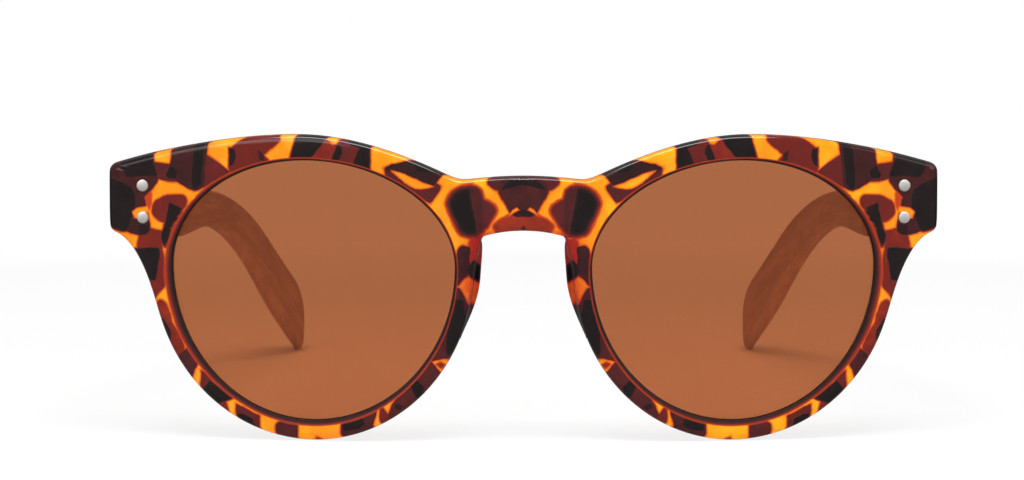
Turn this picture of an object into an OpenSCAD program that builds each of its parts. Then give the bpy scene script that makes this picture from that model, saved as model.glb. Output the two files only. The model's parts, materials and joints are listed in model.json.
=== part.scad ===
// Sunglasses with a tortoiseshell front and wooden temples on spring hinges.
// The origin is on the table, under the middle of the open sunglasses.
// +X is the wearer's left, the front looks along -Y, and +Z is up.

/* [Lenses] */
// Width of each lens opening
lens_w = 50.3; // [47:0.1:53]
// Height of each lens opening
lens_h = 46.4; // [44:0.2:49]
// Height of the opening's widest row above its lowest point
lens_waist = 27.4; // [26:0.2:29]
// Lift of the opening's upper half towards the temple, per mm
lens_sweep = 0.04; // [0:0.01:0.06]
// Thickness of a lens
lens_t = 1.8; // [1.4:0.1:2.2]
// Depth of the groove that holds a lens
groove_d = 0.9; // [0.7:0.1:1.2]
// Clearance round a lens in its groove
lens_gap = 0.1; // [0.05:0.05:0.2]

/* [Rims] */
// Width of a rim at its temple side
rim_side = 3.9; // [3.4:0.1:4.6]
// Width of a rim at its nose side
rim_nose = 3.4; // [3:0.1:4]
// Width of a rim below the lens
rim_bottom = 3.5; // [3:0.1:4.5]
// Width of a rim above the lens
rim_top = 4.6; // [4.2:0.1:5.4]
// Thickness of the rims and the bridge
rim_t = 4.2; // [3.8:0.1:5]
// Radius of the front's curve, seen from above
face_r = 300; // [240:10:500]
// Rounding of the front's outer edge
edge_r = 1; // [0.6:0.1:1.2]
// Rounding of the front's edge round the lenses
lens_edge_r = 0.7; // [0.4:0.1:0.9]
// Chamfer of the edges at the back
back_edge = 0.5; // [0.3:0.1:0.7]

/* [Bridge] */
// Gap between the two lens openings
bridge_w = 24.2; // [22:0.2:27]
// Drop of the bridge's upper edge below the top of the lens opening
bridge_drop = 2.6; // [1.4:0.1:3.8]
// Height of the bridge at its middle
bridge_h = 9.7; // [9:0.1:11]
// Distance from the middle to the foot of each brow
brow_foot = 11.2; // [10:0.2:12]
// Drop of the bridge's upper edge from the middle to the brow's foot
brow_dip = 0.9; // [0.4:0.1:1.4]
// Slope of the brow where it leaves the bridge
brow_slope = 0.5; // [0.4:0.02:0.6]
// Distance from the lens opening's middle to the brow's highest point
brow_peak = 2.4; // [0:0.2:5]
// Share of the way to the end piece on which the brow stays high
brow_full = 0.44; // [0.3:0.02:0.55]
// Rise of the arch under the bridge above its corners
arch_bow = 0.8; // [0.4:0.1:1.2]
// Width of the rounded corner between the arch and the nose side
arch_corner_w = 1.3; // [1:0.1:1.8]
// Height of that corner
arch_corner_h = 2.1; // [1.6:0.1:2.6]
// How far the nose side leans in at that corner
nose_lean = 1.15; // [0.8:0.05:1.4]

/* [End pieces] */
// Reach of an end piece past the lens opening
end_reach = 11.6; // [10.8:0.2:12.6]
// Height of an end piece's outer edge
end_h = 12; // [11:0.1:13]
// Drop of the end piece's middle below the top of the lens opening
end_drop = 7.2; // [6.4:0.1:7.8]
// Thickness of an end piece at the rivets
end_t = 6; // [5.4:0.1:7]
// Rounding of the end piece's corners, seen from the front
end_r = 1.4; // [1:0.1:2]

/* [Nose pads] */
// Bulge of a nose pad past the rim
pad_bulge = 1.3; // [0.8:0.1:2]
// Depth of a nose pad behind the rim
pad_depth = 5.5; // [4:0.5:7]
// Distance from a nose pad's front edge to its fullest line
pad_lead = 2.2; // [1.6:0.1:2.6]
// How far a nose pad reaches over the back of the rim
pad_wrap = 2.2; // [1.8:0.1:2.6]

/* [Temples] */
// Height of a temple at the hinge
temple_h = 11; // [10:0.2:12]
// Height of a temple at the ear
ear_h = 7.1; // [6.4:0.1:8.2]
// Height of the tail
tail_h = 12.3; // [10.8:0.1:13]
// Length of the tail's rounded end
tail_tip = 5.5; // [4.5:0.1:7]
// Thickness of a temple at the hinge
temple_t = 4.2; // [4:0.1:5]
// Thickness of the tail
tail_t = 3.2; // [2.6:0.1:3.6]
// How far a temple reaches behind its front end
temple_reach = 127.5; // [122:0.5:134]
// Downward slope of the straight part
temple_slope = 7.7; // [6.7:0.1:8.5]
// Radius of the upper edge's bend at the ear
ear_r = 82; // [70:1:90]
// Downward slope of the tail
tail_slope = 33.4; // [32:0.2:37]
// How far the tail's end leans inwards
tail_lean = 23.6; // [18:0.2:26]
// Length of temple in front of the inward lean
lean_start = 28; // [24:1:40]
// How gently the lean begins, from 1 for a sharp start
lean_bend = 1.4; // [1.2:0.1:2]
// Rounding of a temple's long edges
temple_edge = 1.2; // [0.8:0.1:1.4]
// Setback of the temple's outer face from the end piece's edge
temple_setback = 1; // [0.6:0.1:1.4]
// Drop of a temple's middle below the middle of the end piece
temple_drop = 0.35; // [0:0.05:0.6]
// Gap between a temple's end and the end piece
butt_gap = 0.7; // [0.65:0.05:0.9]

/* [Hinges] */
// Drop of the hinge's middle below the middle of the end piece
hinge_drop = 0.45; // [0:0.05:0.9]
// Distance of the rivets from the end piece's outer edge
rivet_inset = 6.2; // [6:0.1:6.4]
// Distance between the two rivets of a hinge
rivet_pitch = 5.7; // [5.2:0.1:6]
// Diameter of a rivet's shank
rivet_d = 1.5; // [1.2:0.1:1.6]
// Diameter of a rivet's head
rivet_head_d = 2.1; // [1.9:0.1:2.4]
// Thickness of a rivet's head below the front face
rivet_head_t = 0.9; // [0.7:0.1:1.2]
// Distance from the rivets to the hinge axis
axis_inset = 1.9; // [1.8:0.05:2.2]
// Thickness of the hinge plate
plate_t = 0.9; // [0.7:0.1:1.1]
// Margin of the hinge plate beside the knuckles
plate_margin = 0.6; // [0.4:0.1:0.8]
// Width of the hinge plate
plate_w = 5.8; // [5.6:0.1:6]
// Height of the hinge plate
plate_h = 9; // [8.6:0.1:9.2]
// Diameter of the hinge knuckles
knuckle_d = 2.5; // [2.3:0.1:2.7]
// Height of each of the two front knuckles
knuckle_h = 2; // [1.7:0.1:2.2]
// Height of the temple's knuckle
tongue_h = 1.8; // [1.5:0.1:1.9]
// Diameter of the hinge screw's shank
screw_d = 1.3; // [1.1:0.1:1.4]
// Diameter of the hinge screw's head
screw_head_d = 2; // [1.8:0.1:2.2]
// Height of the hinge screw's head
screw_head_h = 0.7; // [0.5:0.1:0.9]
// Radial clearance of pins in their holes
pin_gap = 0.04; // [0.02:0.01:0.06]
// Clearance beside the knuckles and in pockets
seat_gap = 0.1; // [0.06:0.02:0.14]

/* [Spring hinges] */
// Gap between the knuckles and the spring box
box_gap = 0.35; // [0.3:0.05:0.5]
// Length of the spring box
box_l = 14.5; // [14:0.5:16]
// Height of the spring box
box_h = 4.2; // [4:0.1:4.6]
// How far the spring box stands proud of the temple
box_proud = 1.8; // [1.7:0.1:2]
// Thickness of the screw plate, let into the temple
box_sunk = 0.9; // [0.8:0.1:1.1]
// Length of the screw plate behind the spring box
tab_l = 7.6; // [7:0.2:9]
// Thickness of the sliding bar
bar_t = 1.5; // [1.2:0.1:1.6]
// Length of the sliding bar's guide in the box
guide_l = 3.8; // [3:0.2:4.5]
// Thickness of the wall that the spring pushes on
wall_t = 1; // [0.8:0.1:1.4]
// Diameter of the rod
rod_d = 1; // [0.8:0.1:1]
// Diameter of the spring's bore in the box
bore_d = 2.2; // [2.1:0.05:2.3]
// Diameter of the spring's wire
wire_d = 0.3; // [0.24:0.02:0.32]
// Outer diameter of the spring
spring_d = 1.95; // [1.9:0.05:2]
// Length of the spring at rest
spring_l = 7; // [6.6:0.1:7.2]
// Number of turns of the spring
spring_turns = 8; // [6:1:8]
// Length of the stop on the rod's end
stop_l = 1; // [0.8:0.1:1.2]
// Diameter of the temple screws' shank
tab_screw_d = 1.2; // [1:0.1:1.3]
// Diameter of the temple screws' head
tab_screw_head_d = 2; // [1.8:0.1:2.2]
// Length of the temple screws
tab_screw_l = 3.1; // [2.6:0.1:3.2]
// Distance of the rear temple screw from the end of the screw plate
tab_screw_inset = 2; // [1.6:0.1:2.4]
// Distance between the temple screws
tab_screw_pitch = 3.4; // [3:0.1:4]

/* [Hidden] */
$fn = 48;
eps = 0.01;

// Helpers
function mix(a, b, t) = a + (b - a) * t;
function ease(t) = let (c = min(1, max(0, t))) c * c * (3 - 2 * c);
function unit(v) = v / norm(v);
function curve2(a, b, c, t) = mix(mix(a, b, t), mix(b, c, t), t);
function curve3(a, b, c, d, t) = mix(curve2(a, b, c, t), curve2(b, c, d, t), t);
function steps(n) = [for (i = [0:n - 1]) i / n];
function joined(lists) = [for (list = lists) each list];

// Depth of a drop at distance d from an edge that is rounded by r
function round_drop(d, r) = d >= r ? 0 : r - sqrt(r * r - (r - d) * (r - d));
// Depth of a drop at distance d from an edge that is chamfered by c
function bevel_drop(d, c) = max(0, c - d);

// Main places, seen from the front. All are for the wearer's left side, at +X.
lens_x = (bridge_w + lens_w) / 2;
waist_z = rim_bottom + lens_waist;
lens_top = rim_bottom + lens_h;
brow_z = lens_top + rim_top;
bridge_top = lens_top - bridge_drop;
arch_z = bridge_top - bridge_h;
end_x = bridge_w / 2 + lens_w + end_reach;
end_z = lens_top - end_drop;
hinge_z = end_z - hinge_drop;
end_top = end_z + end_h / 2;
end_foot = end_z - end_h / 2;

// Temple path along its upper edge, as [y, z] from the temple's front end.
// The bend and the tail take what they need, and the straight part takes the rest of the reach.
temple_top = end_z - temple_drop + temple_h / 2;
tail_end_z = tail_tip * sin(tail_slope) + tail_h * cos(tail_slope);
tail_back = norm([tail_tip * cos(tail_slope), tail_h * sin(tail_slope)]) - tail_h * sin(tail_slope);
ear_l = ear_r * (tail_slope - temple_slope) * PI / 180;
bend = ear_r * [sin(tail_slope) - sin(temple_slope), cos(tail_slope) - cos(temple_slope)];
bend_reach = bend[0] + (temple_top + bend[1] - tail_end_z) / tan(tail_slope) + tail_back;
temple_run = (temple_reach - bend_reach) / (cos(temple_slope) - sin(temple_slope) / tan(tail_slope));
ear_start = temple_run * [cos(temple_slope), -sin(temple_slope)];
ear_end = ear_start + bend;
tail_l = (temple_top + ear_end[1] - tail_end_z) / sin(tail_slope);
temple_l = temple_run + ear_l + tail_l;

// Main places along Y. The front's foremost line is at face_y.
function face_sag(x, depth) = face_r - sqrt((face_r - depth) * (face_r - depth) - x * x);
rivet_x = end_x - rivet_inset;
block_sag = face_sag(rivet_x, 0) + end_t;
face_y = -(block_sag + butt_gap + temple_reach) / 2;
function face(x, depth) = face_y + face_sag(x, depth);
block_y = face_y + block_sag;
butt_y = block_y + butt_gap;
axis_x = rivet_x - axis_inset;
axis_y = block_y + knuckle_d / 2 + 2 * seat_gap;
temple_x = end_x - temple_setback - temple_t;

// Lens opening, as [x, z] at an angle that is 0 on the temple side and 90 at the top
function lens_pt(a) =
    let (dx = lens_w / 2 * cos(a), up = sin(a))
    up > 0
        ? [lens_x + dx, waist_z + (lens_h - lens_waist + lens_sweep * dx) * up]
        : [lens_x + dx, waist_z + lens_waist * up];
function lens_out(a) = let (t = unit(lens_pt(a + 0.5) - lens_pt(a - 0.5))) [t[1], -t[0]];

// The front's outline as [x, z], clockwise from the bridge's upper edge at the middle line.
// Each stretch is [points, lens angle at its start, lens angle at its end].
foot = [brow_foot, bridge_top - brow_dip];
peak = [lens_x + brow_peak, brow_z];
brow_end = [end_x - end_r, end_top + 0.3 * end_r];
end_low = [end_x - 1.1 * end_r, end_foot - 0.2 * end_r];
rim_rx = lens_w / 2 + rim_side;
nose_rx = lens_w / 2 + rim_nose;
rim_rz = lens_waist + rim_bottom;
join_a = -16;
join = [lens_x + rim_rx * cos(join_a), waist_z + rim_rz * sin(join_a)];
join_dir = unit([-rim_rx * sin(join_a), rim_rz * cos(join_a)]);
shoulder = [lens_x - nose_rx - nose_lean, arch_z - arch_bow - arch_corner_h];
arch_end = [shoulder[0] - arch_corner_w, arch_z - arch_bow];
// Pulls at the two ends of the curve from the end piece down to the rim
end_pull = [-3.2, -1.9];
rim_pull = 8 * join_dir;

bridge_line = [for (t = steps(4)) curve2([0, bridge_top], [brow_foot / 2, bridge_top], foot, t)];
brow_up = [for (t = steps(9)) curve2(foot, [foot[0] + (brow_z - foot[1]) / brow_slope, brow_z], peak, t)];
brow_down = [for (t = steps(9))
    curve2(peak, [mix(peak[0], brow_end[0], brow_full), brow_z], brow_end, t)];
top_corner = [for (t = steps(4))
    curve2(brow_end, [end_x, end_top], [end_x, end_top - end_r], t)];
end_edge = [for (t = steps(4)) mix([end_x, end_top - end_r], [end_x, end_foot + end_r], t)];
low_corner = [for (t = steps(3)) curve2([end_x, end_foot + end_r], [end_x, end_foot], end_low, t)];
under_curve = [for (t = steps(8))
    curve3(end_low, end_low + end_pull, join + rim_pull, join, t)];
rim_side_curve = [for (t = steps(13)) let (a = mix(join_a, -90, t))
    [lens_x + rim_rx * cos(a), waist_z + rim_rz * sin(a)]];
rim_nose_curve = [for (t = steps(15)) let (a = mix(-90, -180, t))
    [lens_x + nose_rx * cos(a), waist_z + rim_rz * sin(a)]];
nose_side = [for (t = steps(2)) mix([lens_x - nose_rx, waist_z], shoulder, t)];
nose_corner = [for (t = steps(4))
    curve2(shoulder, [shoulder[0], arch_end[1] + arch_bow / 4], arch_end, t)];
arch = [for (t = steps(4)) curve2(arch_end, [arch_end[0] / 2, arch_z], [0, arch_z], t)];
// Distance from the edge to the middle of a rounding, as a share of its radius
round_mid = 1 - cos(45);
// The middle line, where the two halves meet
cut_line = [for (z = [arch_z, arch_z + round_mid * edge_r, arch_z + edge_r,
    arch_z + 0.35 * bridge_h, arch_z + 0.65 * bridge_h,
    bridge_top - edge_r, bridge_top - round_mid * edge_r]) [0, z]];

stretches = [
    [bridge_line, 142, 132], [brow_up, 132, 87], [brow_down, 87, 39], [top_corner, 39, 35],
    [end_edge, 35, 22], [low_corner, 22, 18], [under_curve, 18, -17],
    [rim_side_curve, -17, -90], [rim_nose_curve, -90, -180],
    [nose_side, -180, -187], [nose_corner, -187, -197], [arch, -197, -208], [cut_line, -208, -218],
];
outline = joined([for (s = stretches) s[0]]);
lens_angles = joined([for (s = stretches) [for (t = steps(len(s[0]))) mix(s[1], s[2], t)]]);
ribs = len(outline);
first_cut = ribs - len(cut_line);
function on_cut(i) = i == 0 || i >= first_cut;

// Outward direction of the outline at point i
function outline_out(i) =
    i == 0 ? [0, 1] :
    i >= first_cut ? (outline[i][1] > arch_z + bridge_h / 2 ? [0, 1] : [0, -1]) :
    let (t = unit(outline[(i + 1) % ribs] - outline[(i + ribs - 1) % ribs])) [-t[1], t[0]];

// The back of the end block is flat. It rises from the rim's back between these lines.
ramp_w = 2.4;
ramp_h = 4;
lens_end = bridge_w / 2 + lens_w;
ramp_x = [lens_end - ramp_w / 2, lens_end + ramp_w / 2];
ramp_z = [end_foot - ramp_h, end_foot];
function block_part(p) =
    ease((p[0] - ramp_x[0]) / (ramp_x[1] - ramp_x[0])) * ease((p[1] - ramp_z[0]) / (ramp_z[1] - ramp_z[0]));
function back(p) = mix(face(p[0], rim_t), block_y, block_part(p));

// One section of the front, from the lens opening out to outline point i
lens_depth = (rim_t - lens_t) / 2;
groove = [lens_depth + lens_t + lens_gap, lens_depth - lens_gap];
// Where the two lines on the back may lie, as shares of the way out from the lens
low_share = 0.14;
high_share = [0.3, 0.85];
share_step = 0.12;
// A rounding takes up at most this share of a section
edge_share = 0.4;
function at(p, y) = [p[0], y, p[1]];
function rib(i) =
    let (
        o = outline[i],
        a = lens_angles[i],
        l = lens_pt(a),
        out = lens_out(a),
        span = norm(o - l),
        inward = (l - o) / span,
        lean = max(0.25, -inward * outline_out(i)),
        // Distance to the outer edge, also for points beside the middle line
        rim = function(p, d) on_cut(i) ? min(bridge_top - p[1], p[1] - arch_z) : d,
        front_pt = function(d) let (p = o + inward * min(d / lean, edge_share * span))
            at(p, face(p[0], round_drop(max(0, rim(p, d)), edge_r))),
        back_pt = function(d) let (p = o + inward * min(d / lean, edge_share * span))
            at(p, back(p) - bevel_drop(max(0, rim(p, d)), back_edge)),
        lens_front = function(d) let (p = l + out * d) at(p, face(p[0], round_drop(d, lens_edge_r))),
        lens_back = function(d) let (p = l + out * d) at(p, back(p) - bevel_drop(d, back_edge / 2)),
        // Two lines on the back, on the ramp of the end block
        run = o[0] - l[0],
        wide = o[0] > ramp_x[1],
        high = wide ? min(high_share[1], max(high_share[0], (ramp_x[1] - l[0]) / run)) : high_share[0],
        low = wide ? min(high - share_step, max(low_share, (ramp_x[0] - l[0]) / run)) : low_share,
        back_mid = function(t) let (p = mix(l, o, t)) at(p, back(p)),
        groove_pt = function(d, depth) let (p = l + out * d) at(p, face(p[0], depth))
    )
    [
        lens_front(0), lens_front(round_mid * lens_edge_r), lens_front(lens_edge_r),
        front_pt(edge_r), front_pt(round_mid * edge_r), front_pt(0),
        back_pt(0), back_pt(back_edge), back_mid(high), back_mid(low), lens_back(back_edge / 2), lens_back(0),
        groove_pt(0, groove[0]), groove_pt(groove_d, groove[0]),
        groove_pt(groove_d, groove[1]), groove_pt(0, groove[1]),
    ];
rib_list = [for (i = [0:ribs - 1]) rib(i)];
rib_n = len(rib_list[0]);
edge_front = 5;
edge_back = 6;

// Two triangles between rings a and b, points k and k + 1
function strip(a, b, k, n) = let (m = (k + 1) % n) [[a[k], a[m], b[m]], [a[k], b[m], b[k]]];
function flipped(faces) = [for (f = faces) [f[2], f[1], f[0]]];
// Skin of a row of rings with n points each, closed by a fan at both ends
function tube_faces(rings, n) = concat(
    joined([for (i = [0:rings - 2]) joined([for (k = [0:n - 1])
        strip([for (j = [0:n - 1]) i * n + j], [for (j = [0:n - 1]) (i + 1) * n + j], k, n)])]),
    [for (k = [1:n - 2]) [0, k + 1, k]],
    [for (k = [1:n - 2]) (rings - 1) * n * [1, 1, 1] + [0, k, k + 1]]
);

// Point numbers of section i on one half. The halves share their points on the middle line.
function rib_ids(i, half) = [for (k = [0:rib_n - 1])
    i * rib_n + k + (half == 1 && !(on_cut(i) && (k == edge_front || k == edge_back)) ? ribs * rib_n : 0)];
function half_faces(half) = joined([for (i = [0:ribs - 1]) let (j = (i + 1) % ribs)
    joined([for (k = [0:rib_n - 1]) if (!(k == edge_front && on_cut(i) && on_cut(j)))
        strip(rib_ids(i, half), rib_ids(j, half), k, rib_n)])]);

module front_skin() {
    pts = joined(rib_list);
    mirrored = [for (p = pts) [-p[0], p[1], p[2]]];
    polyhedron(concat(pts, mirrored), concat(half_faces(0), flipped(half_faces(1))));
}

// Runs its children on the wearer's left, and mirrored on the wearer's right
module on_side(side) {
    mirror([side == "right" ? 1 : 0, 0, 0]) children();
}
// A cylinder along Y from y0 to y1
module y_rod(x, y0, y1, z, d) {
    translate([x, y1, z]) rotate([90, 0, 0]) cylinder(d = d, h = y1 - y0);
}
// A cylinder along X from x0 to x1
module x_rod(x0, x1, y, z, d1, d2) {
    translate([x0, y, z]) rotate([0, 90, 0]) cylinder(d1 = d1, d2 = d2, h = x1 - x0);
}

// Hinge plate, let into the end block
plate_x = axis_x - knuckle_d / 2 - plate_margin;
module plate_block(gap, depth) {
    translate([plate_x - gap, block_y - depth, hinge_z - plate_h / 2 - gap])
        cube([plate_w + 2 * gap, depth + (gap > 0 ? 1 : 0), plate_h + 2 * gap]);
}
rivet_z = [hinge_z - rivet_pitch / 2, hinge_z + rivet_pitch / 2];
rivet_face = face(rivet_x, 0);
rivet_dome = 0.16;

module front_frame() {
    color([0.45, 0.22, 0.08])
    difference() {
        front_skin();
        for (side = ["right", "left"]) on_side(side) {
            plate_block(seat_gap / 2, plate_t);
            for (z = rivet_z) {
                y_rod(rivet_x, rivet_face, block_y + eps, z, rivet_d + 2 * pin_gap);
                y_rod(rivet_x, rivet_face - 2, rivet_face + rivet_head_t, z, rivet_head_d + 2 * pin_gap);
            }
        }
    }
}

module lens(side) {
    grip = groove_d - lens_gap;
    rim_pts = [for (a = [0:5:355]) lens_pt(a) + lens_out(a) * grip];
    color([0.5, 0.3, 0.18, 0.7])
    on_side(side)
    intersection() {
        translate([0, -face_y, 0]) rotate([90, 0, 0]) linear_extrude(-2 * face_y) polygon(rim_pts);
        translate([0, face_y + face_r, 0]) difference() {
            cylinder(r = face_r - lens_depth, h = brow_z, $fn = 360);
            translate([0, 0, -1]) cylinder(r = face_r - lens_depth - lens_t, h = brow_z + 2, $fn = 360);
        }
    }
}

// Nose pad: bonded to the wall and the back of the rim between these sections
pad_from = first_cut - len(arch) - len(nose_corner) - len(nose_side) - 4;
pad_to = first_cut - len(arch) - len(nose_corner) + 1;
pad_rings = pad_to - pad_from + 1;
// Where the pad starts on the rim's wall, as a share of the rim's thickness
pad_front = 0.12;
// A pad's section on the wall, as [share of the bulge, share of the lead]
pad_wall = [[0, 0], [0.14, 0.27], [0.62, 0.62], [1, 1]];
// Its section behind the rim, as [share of the bulge, share of the depth]
pad_nose = [[0.92, 0.45], [0.4, 0.85]];
// The rest of it, as [share of the wrap, share of the depth]
pad_rear = [[0.23, 1], [0.68, 0.85], [1, 0.4]];
// A pad swells as a sine wave over its length: the angle it starts and ends at, and the wave's powers
pad_taper = 3;
bulge_power = 1.8;
depth_power = 0.8;
function pad_ring(i) =
    let (
        t = (i - pad_from) / (pad_rings - 1),
        wave = sin(mix(pad_taper, 180 - pad_taper, t)),
        out = outline_out(i),
        o = outline[i],
        s = rib_list[i],
        b = pad_bulge * pow(wave, bulge_power),
        d = pad_depth * pow(wave, depth_power),
        y0 = mix(s[edge_front][1], s[edge_back][1], pad_front),
        yb = s[edge_back + 1][1],
        pt = function(n, y) at(o + out * n, y)
    )
    [
        for (q = pad_wall) pt(q[0] * b, y0 + q[1] * pad_lead),
        for (q = pad_nose) pt(q[0] * b, yb + q[1] * d),
        for (q = pad_rear) pt(-q[0] * pad_wrap, yb + q[1] * d),
        s[edge_back + 2], s[edge_back + 1], s[edge_back],
    ];
pad_wall_n = len(pad_wall);
pad_n = pad_wall_n + len(pad_nose) + len(pad_rear) + 3;
// An end face as triangles. The last two points lie round the rim's edge.
pad_cap = concat(
    [for (k = [0:pad_wall_n - 1]) [pad_n - 1, k, k + 1]],
    [[pad_n - 1, pad_wall_n, pad_n - 2]],
    [for (k = [pad_wall_n:pad_n - 4]) [pad_n - 2, k, k + 1]]);
module nose_pad(side) {
    rings = [for (i = [pad_from:pad_to]) pad_ring(i)];
    sides = joined([for (i = [0:pad_rings - 2]) joined([for (k = [0:pad_n - 1])
        strip([for (j = [0:pad_n - 1]) i * pad_n + j],
            [for (j = [0:pad_n - 1]) (i + 1) * pad_n + j], k, pad_n)])]);
    end = [for (f = flipped(pad_cap)) f + (pad_rings - 1) * pad_n * [1, 1, 1]];
    color([0.55, 0.2, 0.07])
    on_side(side)
    polyhedron(joined(rings), concat(sides, flipped(pad_cap), flipped(end)));
}

// Heights of the knuckles above the hinge's middle
tongue_top = tongue_h / 2;
knuckle_foot = tongue_top + seat_gap / 2;
knuckle_top = knuckle_foot + knuckle_h;
web_w = 0.72 * knuckle_d;

module front_hinge(side) {
    color("silver")
    on_side(side)
    difference() {
        union() {
            plate_block(0, plate_t);
            for (z = [knuckle_foot, -knuckle_top]) translate([axis_x, axis_y, hinge_z + z]) {
                cylinder(d = knuckle_d, h = knuckle_h);
                translate([-web_w / 2, block_y - axis_y - plate_t / 2, 0])
                    cube([web_w, axis_y - block_y + plate_t / 2, knuckle_h]);
            }
        }
        translate([axis_x, axis_y, hinge_z - knuckle_top - 1])
            cylinder(d = screw_d + 2 * pin_gap, h = 2 * knuckle_top + 2);
        for (z = rivet_z) y_rod(rivet_x, block_y - plate_t - 1, block_y + 1, z, rivet_d + 2 * pin_gap);
    }
}

module front_rivets(side) {
    head_r = rivet_head_d / 2;
    dome_r = (head_r * head_r + rivet_dome * rivet_dome) / (2 * rivet_dome);
    color("silver")
    on_side(side)
    for (z = rivet_z) {
        y_rod(rivet_x, rivet_face + rivet_head_t / 2, block_y, z, rivet_d);
        intersection() {
            y_rod(rivet_x, rivet_face - 1, rivet_face + rivet_head_t, z, rivet_head_d);
            translate([rivet_x, rivet_face - rivet_dome + dome_r, z]) sphere(r = dome_r);
        }
    }
}

module hinge_screw(side) {
    slot_w = 0.3;
    color("gainsboro")
    on_side(side)
    translate([axis_x, axis_y, hinge_z])
    difference() {
        union() {
            translate([0, 0, -knuckle_top]) cylinder(d = screw_d, h = 2 * knuckle_top + screw_head_h / 2);
            translate([0, 0, knuckle_top]) cylinder(d = screw_head_d, h = screw_head_h);
        }
        translate([-slot_w / 2, -screw_head_d, knuckle_top + screw_head_h / 2])
            cube([slot_w, 2 * screw_head_d, screw_head_h]);
    }
}

// Spring box on the temple's inner face, and what slides in it
box_y = axis_y + knuckle_d / 2 + box_gap;
rod_x = temple_x + (box_sunk - box_proud) / 2;
guide_end = box_y + guide_l;
chamber_y = guide_end + wall_t;
spring_y = chamber_y + seat_gap;
stop_y = spring_y + spring_l + seat_gap;
tab_end = box_y + box_l + tab_l;
head_l = (tab_screw_head_d - tab_screw_d) / 2;
tab_screw_y = [tab_end - tab_screw_inset, tab_end - tab_screw_inset - tab_screw_pitch];

module spring_tongue(side) {
    w = web_w / 2;
    // The arm leaves the knuckle beside its middle and bends towards the box
    bend_y = axis_y + knuckle_d / 2;
    arm = [
        [axis_x - w, axis_y], [axis_x + w, axis_y - knuckle_d / 8], [rod_x + bar_t / 2, bend_y],
        [rod_x + bar_t / 2, guide_end - seat_gap], [rod_x - bar_t / 2, guide_end - seat_gap],
        [rod_x - bar_t / 2, box_y],
    ];
    color("silver")
    on_side(side)
    difference() {
        union() {
            translate([0, 0, hinge_z - tongue_top]) linear_extrude(tongue_h) polygon(arm);
            translate([axis_x, axis_y, hinge_z - tongue_top]) cylinder(d = knuckle_d, h = tongue_h);
            y_rod(rod_x, guide_end - 1, stop_y + stop_l, hinge_z, rod_d);
        }
        translate([axis_x, axis_y, hinge_z - tongue_top - 1])
            cylinder(d = screw_d + 2 * pin_gap, h = tongue_h + 2);
    }
}

// Coil of round wire: rings of points along a helix
coil_sides = 6;
coil_steps = 8;
coil_rings = coil_steps * spring_turns + 1;
coil_r = (spring_d - wire_d) / 2;
coil_rise = spring_l - wire_d;
function coil_mid(i) = let (a = 360 * i / coil_steps, rise = coil_rise * i / (coil_rings - 1))
    [rod_x + coil_r * cos(a), spring_y + wire_d / 2 + rise, hinge_z + coil_r * sin(a)];
function coil_ring(i) = let (a = 360 * i / coil_steps, out = [cos(a), 0, sin(a)])
    [for (k = [0:coil_sides - 1]) let (b = 360 * k / coil_sides)
        coil_mid(i) + wire_d / 2 * (cos(b) * out + sin(b) * [0, 1, 0])];
coil_gap = min([for (i = [coil_steps:coil_rings - 1]) norm(coil_mid(i) - coil_mid(i - coil_steps))]) - wire_d;
echo(least_gap_of_the_spring_to_itself = coil_gap);

module hinge_spring(side) {
    color("lightgray")
    on_side(side)
    polyhedron(
        joined([for (i = [0:coil_rings - 1]) coil_ring(i)]), flipped(tube_faces(coil_rings, coil_sides)));
}

module spring_stop(side) {
    color("silver")
    on_side(side)
    difference() {
        y_rod(rod_x, stop_y, stop_y + stop_l, hinge_z, spring_d);
        y_rod(rod_x, stop_y - 1, stop_y + stop_l + 1, hinge_z, rod_d);
    }
}

// A box along the temple's inner face, from y0 to y1, with height h
module face_block(x0, x1, y0, y1, h) {
    translate([x0, y0, hinge_z - h / 2]) cube([x1 - x0, y1 - y0, h]);
}

module spring_housing(side) {
    crown_r = box_h;
    color("silver")
    on_side(side)
    difference() {
        union() {
            intersection() {
                face_block(temple_x - box_proud, temple_x + box_sunk / 2, box_y, box_y + box_l, box_h);
                y_rod(temple_x - box_proud + crown_r, box_y - 1, box_y + box_l + 1, hinge_z, 2 * crown_r);
            }
            face_block(temple_x, temple_x + box_sunk, box_y, tab_end, box_h);
        }
        face_block(rod_x - bar_t / 2 - seat_gap / 2, rod_x + bar_t / 2 + seat_gap / 2,
            box_y - 1, guide_end, tongue_h + seat_gap);
        y_rod(rod_x, guide_end - 1, chamber_y + 1, hinge_z, rod_d + 2 * pin_gap);
        y_rod(rod_x, chamber_y, box_y + box_l + 1, hinge_z, bore_d);
        for (y = tab_screw_y) {
            x_rod(temple_x - 1, temple_x + box_sunk + 1, y, hinge_z,
                tab_screw_d + 2 * pin_gap, tab_screw_d + 2 * pin_gap);
            x_rod(temple_x - eps, temple_x + head_l, y, hinge_z,
                tab_screw_head_d + 2 * pin_gap, tab_screw_d + 2 * pin_gap);
        }
    }
}

module housing_screws(side) {
    color("gainsboro")
    on_side(side)
    for (y = tab_screw_y) {
        x_rod(temple_x, temple_x + tab_screw_l, y, hinge_z, tab_screw_d, tab_screw_d);
        x_rod(temple_x, temple_x + head_l, y, hinge_z, tab_screw_head_d, tab_screw_d);
    }
}

// Temple: rounded sections along its path
function path_a(s) = min(tail_slope, max(temple_slope, temple_slope + (s - temple_run) / ear_r * 180 / PI));
function path_pt(s) =
    s <= temple_run ? s * [cos(temple_slope), -sin(temple_slope)] :
    s <= temple_run + ear_l ? ear_start
        + ear_r * [sin(path_a(s)) - sin(temple_slope), cos(path_a(s)) - cos(temple_slope)] :
    ear_end + (s - temple_run - ear_l) * [cos(tail_slope), -sin(tail_slope)];
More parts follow.
